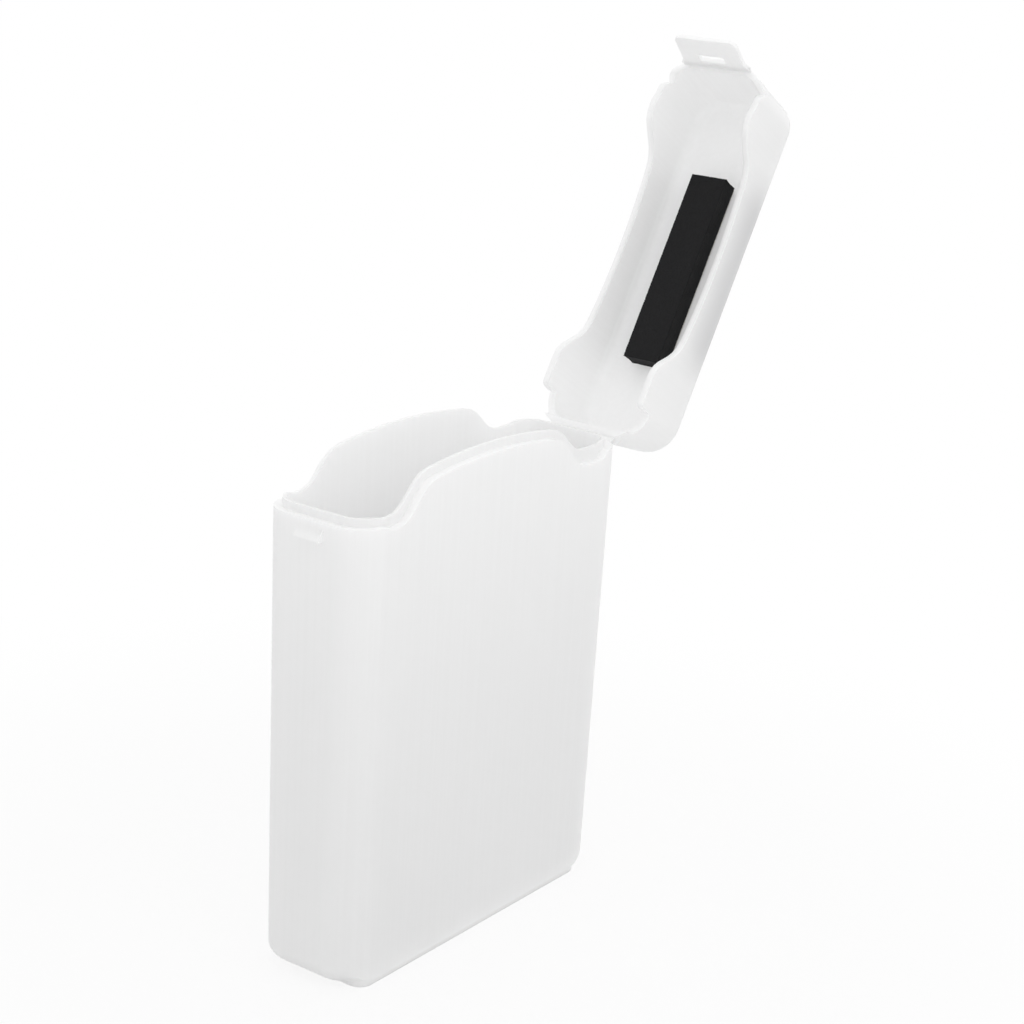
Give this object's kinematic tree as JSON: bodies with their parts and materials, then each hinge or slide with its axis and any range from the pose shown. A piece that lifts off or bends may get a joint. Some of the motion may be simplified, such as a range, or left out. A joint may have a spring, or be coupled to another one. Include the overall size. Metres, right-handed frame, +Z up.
{
  "type": "hard drive case",
  "caption": "Upright frosted plastic case for a bare 3.5-inch hard drive: deep tapered body with a wavy stepped rim, arched hinged lid, latch flap and foam pad inside the lid.",
  "frame": {"origin": "centre of the plinth's underside, on the surface the case stands on", "axes": "+Z up out of the body's mouth, +X from the latch end to the hinge end, Y through the thickness"},
  "size_m": [0.2047, 0.0362, 0.2452],
  "materials": {
    "polypropylene": "frosted natural polypropylene, milky and translucent",
    "adhesive_tape": "thin double-sided tape",
    "black_foam": "matt open-cell polyurethane foam"
  },
  "bodies": {
    "case_body": {"body_shell": "polypropylene", "hinge_web": "polypropylene"},
    "lid": {"lid_shell": "polypropylene", "pad_tape": "adhesive_tape", "foam_pad": "black_foam", "latch_web": "polypropylene"},
    "latch": {"latch_flap": "polypropylene"}
  },
  "joints": [
    {"name": "lid_hinge", "type": "hinge", "parent": "case_body", "child": "lid", "pos_m": [0.06045, 0, 0.1322], "axis": [0, 1, 0], "range_deg": [-121.2, 47], "deforming": ["hinge_web"]},
    {"name": "latch_hinge", "type": "hinge", "parent": "lid", "child": "latch", "pos_m": [0.12256, 0, 0.2361], "axis": [0, 1, 0], "range_deg": [-14, 30], "stiffness_Nm_per_rad": 0.02, "deforming": ["latch_web"]}
  ]
}
